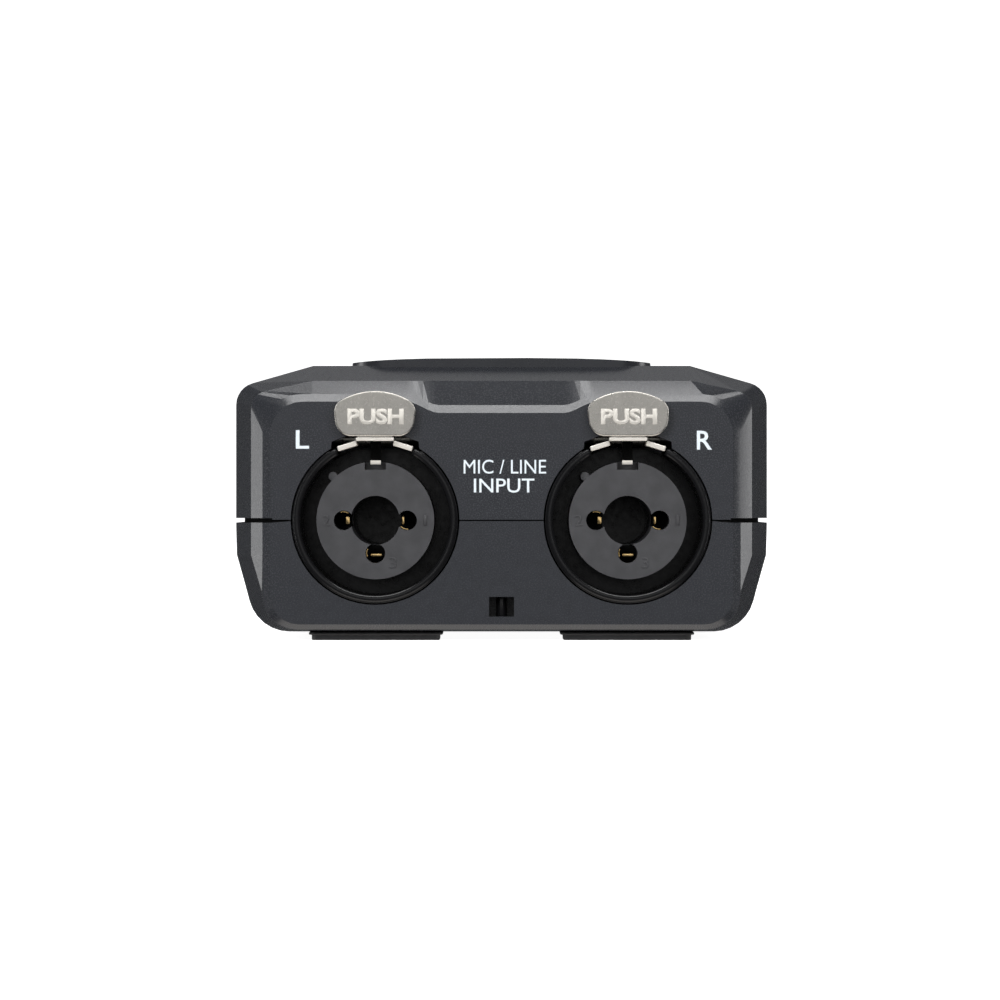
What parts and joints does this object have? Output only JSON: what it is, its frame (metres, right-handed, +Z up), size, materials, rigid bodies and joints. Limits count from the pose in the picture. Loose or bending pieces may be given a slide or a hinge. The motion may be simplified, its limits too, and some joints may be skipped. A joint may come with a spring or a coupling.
{
  "type": "portable field recorder",
  "caption": "Handheld audio recorder with combo microphone connectors at one end, swivelling microphones at the other, and keys and a display on its face.",
  "frame": {"origin": "middle of the footprint, on the surface that the four feet rest on", "axes": "+Z up through the display face, -Y out of the connector end, +Y out of the microphone end, +X to the right when facing the connectors"},
  "size_m": [0.0708, 0.155, 0.0375],
  "materials": {
    "housing": "finely textured",
    "face": "satin",
    "lens": "clear",
    "display_frame": "matt",
    "display_glass": "polished",
    "circuit_board": "lacquered",
    "chip": "matt",
    "key": "satin",
    "record_red": "translucent",
    "control": "ribbed",
    "connector_black": "semi-matt",
    "insert_grey": "matt",
    "contact_gold": "gold plated",
    "nickel": "satin nickel",
    "steel": "plain",
    "screw": "black",
    "card": "matt",
    "tray": "matt",
    "cell": "printed wrap",
    "speaker_black": "matt",
    "brass": "machined",
    "rubber": "matt",
    "lamp": "translucent",
    "turret": "satin",
    "mic_body": "anodised",
    "mic_grille": "woven mesh",
    "capsule": "plain"
  },
  "bodies": {
    "recorder": {"front_housing": "housing", "rear_housing": "housing", "face_plate": "face", "display_window": "lens", "lcd_module": "display_frame", "lcd_glass": "display_glass", "key_board": "circuit_board", "key_switches": "steel", "main_board": "circuit_board", "board_chips": "chip", "jack_board": "circuit_board", "phones_jack": "connector_black", "usb_port": "steel", "card_socket": "steel", "battery_tray": "tray", "batteries": "cell", "battery_springs": "nickel", "battery_contacts": "nickel", "speaker": "speaker_black", "tripod_insert": "brass", "rubber_feet": "rubber", "case_screws": "screw", "status_lamp": "lamp", "strap_pin": "steel", "left_jack_shell": "connector_black", "right_jack_shell": "connector_black", "jack_bases": "connector_black", "left_jack_insert": "insert_grey", "right_jack_insert": "insert_grey", "socket_contacts": "contact_gold", "plug_springs": "nickel", "latch_pins": "steel"},
    "stop_key": {"stop_key": "key"},
    "record_key": {"record_key": "record_red"},
    "play_key": {"play_key": "key"},
    "up_key": {"up_key": "key"},
    "down_key": {"down_key": "key"},
    "back_key": {"back_key": "key"},
    "forward_key": {"forward_key": "key"},
    "enter_key": {"enter_key": "key"},
    "menu_key": {"menu_key": "key"},
    "mixer_key": {"mixer_key": "key"},
    "mark_key": {"mark_key": "key"},
    "volume_rocker": {"volume_rocker": "control"},
    "level_rocker": {"level_rocker": "control"},
    "power_slider": {"power_slider": "control"},
    "input_slider": {"input_slider": "control"},
    "card_door": {"card_door": "housing"},
    "memory_card": {"memory_card": "card"},
    "battery_cover": {"battery_cover": "housing"},
    "left_latch": {"left_latch": "nickel"},
    "right_latch": {"right_latch": "nickel"},
    "left_microphone": {"left_turret": "turret", "left_mic_sleeve": "mic_body", "left_mic_grille": "mic_grille", "left_mic_capsule": "capsule"},
    "right_microphone": {"right_turret": "turret", "right_mic_sleeve": "mic_body", "right_mic_grille": "mic_grille", "right_mic_capsule": "capsule"}
  },
  "joints": [
    {"name": "stop_press", "type": "slide", "parent": "recorder", "child": "stop_key", "axis": [0, 0, -1], "range_m": [0, 0.0004], "stiffness_N_per_m": 1000, "springref_m": -0.0005},
    {"name": "record_press", "type": "slide", "parent": "recorder", "child": "record_key", "axis": [0, 0, -1], "range_m": [0, 0.0004], "stiffness_N_per_m": 1000, "springref_m": -0.0005},
    {"name": "play_press", "type": "slide", "parent": "recorder", "child": "play_key", "axis": [0, 0, -1], "range_m": [0, 0.0004], "stiffness_N_per_m": 1000, "springref_m": -0.0005},
    {"name": "up_press", "type": "slide", "parent": "recorder", "child": "up_key", "axis": [0, 0, -1], "range_m": [0, 0.0004], "stiffness_N_per_m": 1000, "springref_m": -0.0005},
    {"name": "down_press", "type": "slide", "parent": "recorder", "child": "down_key", "axis": [0, 0, -1], "range_m": [0, 0.0004], "stiffness_N_per_m": 1000, "springref_m": -0.0005},
    {"name": "back_press", "type": "slide", "parent": "recorder", "child": "back_key", "axis": [0, 0, -1], "range_m": [0, 0.0004], "stiffness_N_per_m": 1000, "springref_m": -0.0005},
    {"name": "forward_press", "type": "slide", "parent": "recorder", "child": "forward_key", "axis": [0, 0, -1], "range_m": [0, 0.0004], "stiffness_N_per_m": 1000, "springref_m": -0.0005},
    {"name": "enter_press", "type": "slide", "parent": "recorder", "child": "enter_key", "axis": [0, 0, -1], "range_m": [0, 0.0004], "stiffness_N_per_m": 1000, "springref_m": -0.0005},
    {"name": "menu_press", "type": "slide", "parent": "recorder", "child": "menu_key", "axis": [0, 0, -1], "range_m": [0, 0.0004], "stiffness_N_per_m": 1000, "springref_m": -0.0005},
    {"name": "mixer_press", "type": "slide", "parent": "recorder", "child": "mixer_key", "axis": [0, 0, -1], "range_m": [0, 0.0004], "stiffness_N_per_m": 1000, "springref_m": -0.0005},
    {"name": "mark_press", "type": "slide", "parent": "recorder", "child": "mark_key", "axis": [0, 0, -1], "range_m": [0, 0.0004], "stiffness_N_per_m": 1000, "springref_m": -0.0005},
    {"name": "left_microphone_swivel", "type": "hinge", "parent": "recorder", "child": "left_microphone", "pos_m": [-0.0244, 0.0577, 0.018], "axis": [0, 0, 1], "range_deg": [0, 90]},
    {"name": "right_microphone_swivel", "type": "hinge", "parent": "recorder", "child": "right_microphone", "pos_m": [0.0244, 0.0577, 0.018], "axis": [0, 0, 1], "range_deg": [-90, 0]},
    {"name": "left_latch_press", "type": "hinge", "parent": "recorder", "child": "left_latch", "pos_m": [-0.0167, -0.0666, 0.0268], "axis": [1, 0, 0], "range_deg": [-4, 0], "stiffness_Nm_per_rad": 0.05, "springref_deg": 5.73},
    {"name": "right_latch_press", "type": "hinge", "parent": "recorder", "child": "right_latch", "pos_m": [0.0167, -0.0666, 0.0268], "axis": [1, 0, 0], "range_deg": [-4, 0], "stiffness_Nm_per_rad": 0.05, "springref_deg": 5.73},
    {"name": "volume_rock", "type": "hinge", "parent": "recorder", "child": "volume_rocker", "pos_m": [-0.0341, -0.008, 0.0245], "axis": [0, 0, 1], "range_deg": [-2.5, 2.5], "stiffness_Nm_per_rad": 0.05},
    {"name": "level_rock", "type": "hinge", "parent": "recorder", "child": "level_rocker", "pos_m": [0.0341, -0.012, 0.0245], "axis": [0, 0, 1], "range_deg": [-2.5, 2.5], "stiffness_Nm_per_rad": 0.05},
    {"name": "power_slide", "type": "slide", "parent": "recorder", "child": "power_slider", "axis": [0, 1, 0], "range_m": [-0.002, 0.002]},
    {"name": "input_slide", "type": "slide", "parent": "recorder", "child": "input_slider", "axis": [0, 1, 0], "range_m": [0, 0.004]},
    {"name": "card_door_swing", "type": "hinge", "parent": "recorder", "child": "card_door", "pos_m": [0.0347, 0.014, 0.0211], "axis": [0, 1, 0], "range_deg": [0, 90]},
    {"name": "card_press", "type": "slide", "parent": "recorder", "child": "memory_card", "axis": [-1, 0, 0], "range_m": [0, 0.0007], "stiffness_N_per_m": 200, "springref_m": -0.001},
    {"name": "battery_cover_slide", "type": "slide", "parent": "recorder", "child": "battery_cover", "axis": [0, -1, 0], "range_m": [0, 0.005]}
  ]
}
